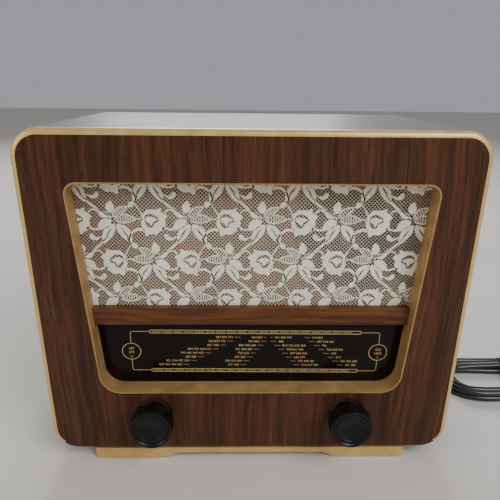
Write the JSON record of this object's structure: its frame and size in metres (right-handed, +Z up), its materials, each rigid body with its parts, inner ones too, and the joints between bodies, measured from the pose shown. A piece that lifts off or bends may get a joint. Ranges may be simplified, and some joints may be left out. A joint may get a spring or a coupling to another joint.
{
  "type": "tabletop radio",
  "caption": "Tabletop valve radio: veneered round-cornered cabinet, recessed lace-covered loudspeaker over a black glass tuning dial, turning knobs below, mains lead in a hank.",
  "frame": {"origin": "on the table under the middle of the radio, without its mains lead", "axes": "+X to the right seen from the front, +Y from front to back, +Z up"},
  "size_m": [0.598, 0.2966, 0.308],
  "materials": {
    "walnut_veneer": "lacquered",
    "figured_veneer": "lacquered",
    "gold_bronze_paint": "satin",
    "cotton_lace": "woven",
    "baffle_board": "matt",
    "black_printed_glass": "gloss",
    "plated_steel": "satin",
    "white_enamel": "gloss",
    "moulded_phenolic": "gloss",
    "lamp_glass": "clear",
    "braided_cord": "braided",
    "turned_brass": "satin",
    "pointer_enamel": "gloss",
    "sheet_aluminium": "satin",
    "black_bakelite": "gloss",
    "brown_felt": "felted",
    "cork_gasket": "matt",
    "cone_paper": "matt",
    "wound_coil": "varnished",
    "cast_magnet": "satin",
    "laminations": "satin",
    "valve_glass": "clear",
    "hardboard": "matt",
    "raw_beech": "sawn",
    "black_rubber": "satin"
  },
  "bodies": {
    "cabinet": {"cabinet_shell": "walnut_veneer", "front_panel": "figured_veneer", "edge_bead": "gold_bronze_paint", "opening_liner": "gold_bronze_paint", "cross_rail": "figured_veneer", "speaker_cloth": "cotton_lace", "speaker_baffle": "baffle_board", "dial_glass": "black_printed_glass", "glass_clips": "plated_steel", "dial_backplate": "white_enamel", "lamp_holders": "moulded_phenolic", "dial_lamps": "lamp_glass", "drive_frame": "plated_steel", "guide_rod": "plated_steel", "drive_cord": "braided_cord", "tuning_gang_frame": "plated_steel", "tuning_bush": "turned_brass", "volume_pot": "plated_steel", "knob_washers": "brown_felt", "speaker_frame": "plated_steel", "speaker_gasket": "cork_gasket", "speaker_magnet": "cast_magnet", "speaker_screws": "plated_steel", "output_transformer": "laminations", "chassis": "plated_steel", "chassis_bolts": "plated_steel", "valve_sockets": "moulded_phenolic", "valve_glasses": "valve_glass", "if_cans": "sheet_aluminium", "filter_capacitor": "sheet_aluminium", "transformer_core": "laminations", "transformer_coil": "wound_coil", "aerial_sockets": "moulded_phenolic", "voltage_selector": "moulded_phenolic", "rear_cover": "hardboard", "cover_screws": "turned_brass", "rear_battens": "raw_beech", "plinth_front": "gold_bronze_paint", "plinth_rear": "walnut_veneer", "foot_pads": "brown_felt", "cord_relief": "black_rubber", "mains_cord": "black_rubber", "cord_hank": "black_rubber", "cord_tie": "black_rubber", "plug_body": "black_bakelite", "plug_pins": "turned_brass"},
    "volume": {"volume_shaft": "plated_steel", "volume_knob": "black_bakelite", "volume_knob_screw": "plated_steel"},
    "tuning": {"tuning_shaft": "plated_steel", "tuning_knob": "black_bakelite", "tuning_knob_screw": "plated_steel"},
    "gang": {"drive_drum": "turned_brass", "tuning_rotor": "sheet_aluminium"},
    "idler_l": {"idler_left": "turned_brass"},
    "idler_r": {"idler_right": "turned_brass"},
    "pointer": {"dial_pointer": "pointer_enamel"},
    "cone": {"speaker_cone": "cone_paper", "dust_cap": "cone_paper", "voice_coil": "wound_coil"}
  },
  "joints": [
    {"name": "volume_turn", "type": "hinge", "parent": "cabinet", "child": "volume", "pos_m": [-0.0885, -0.0827, 0.053], "axis": [0, 1, 0], "range_deg": [0, 300]},
    {"name": "tuning_turn", "type": "hinge", "parent": "cabinet", "child": "tuning", "pos_m": [0.0885, -0.0827, 0.053], "axis": [0, 1, 0], "range_deg": [-1035, 1035]},
    {"name": "drum_turn", "type": "hinge", "parent": "cabinet", "child": "gang", "pos_m": [-0.02, -0.0522, 0.1], "axis": [0, 1, 0], "range_deg": [-90.5, 90.5]},
    {"name": "idler_left_turn", "type": "hinge", "parent": "cabinet", "child": "idler_l", "pos_m": [-0.106, -0.0522, 0.142], "axis": [0, 1, 0], "range_deg": [-518, 518]},
    {"name": "idler_right_turn", "type": "hinge", "parent": "cabinet", "child": "idler_r", "pos_m": [0.106, -0.0522, 0.142], "axis": [0, 1, 0], "range_deg": [-518, 518]},
    {"name": "pointer_slide", "type": "slide", "parent": "cabinet", "child": "pointer", "axis": [1, 0, 0], "range_m": [-0.0723, 0.0723]},
    {"name": "cone_travel", "type": "slide", "parent": "cabinet", "child": "cone", "axis": [0, 1, 0], "range_m": [-0.0008, 0.0008], "stiffness_N_per_m": 1500}
  ],
  "couplings": [
    {"joint": "drum_turn", "follows": "tuning_turn", "ratio": 0.086957},
    {"joint": "idler_left_turn", "follows": "tuning_turn", "ratio": 0.5},
    {"joint": "idler_right_turn", "follows": "tuning_turn", "ratio": 0.5},
    {"joint": "pointer_slide", "follows": "tuning_turn", "m_per_rad": 0.004}
  ]
}
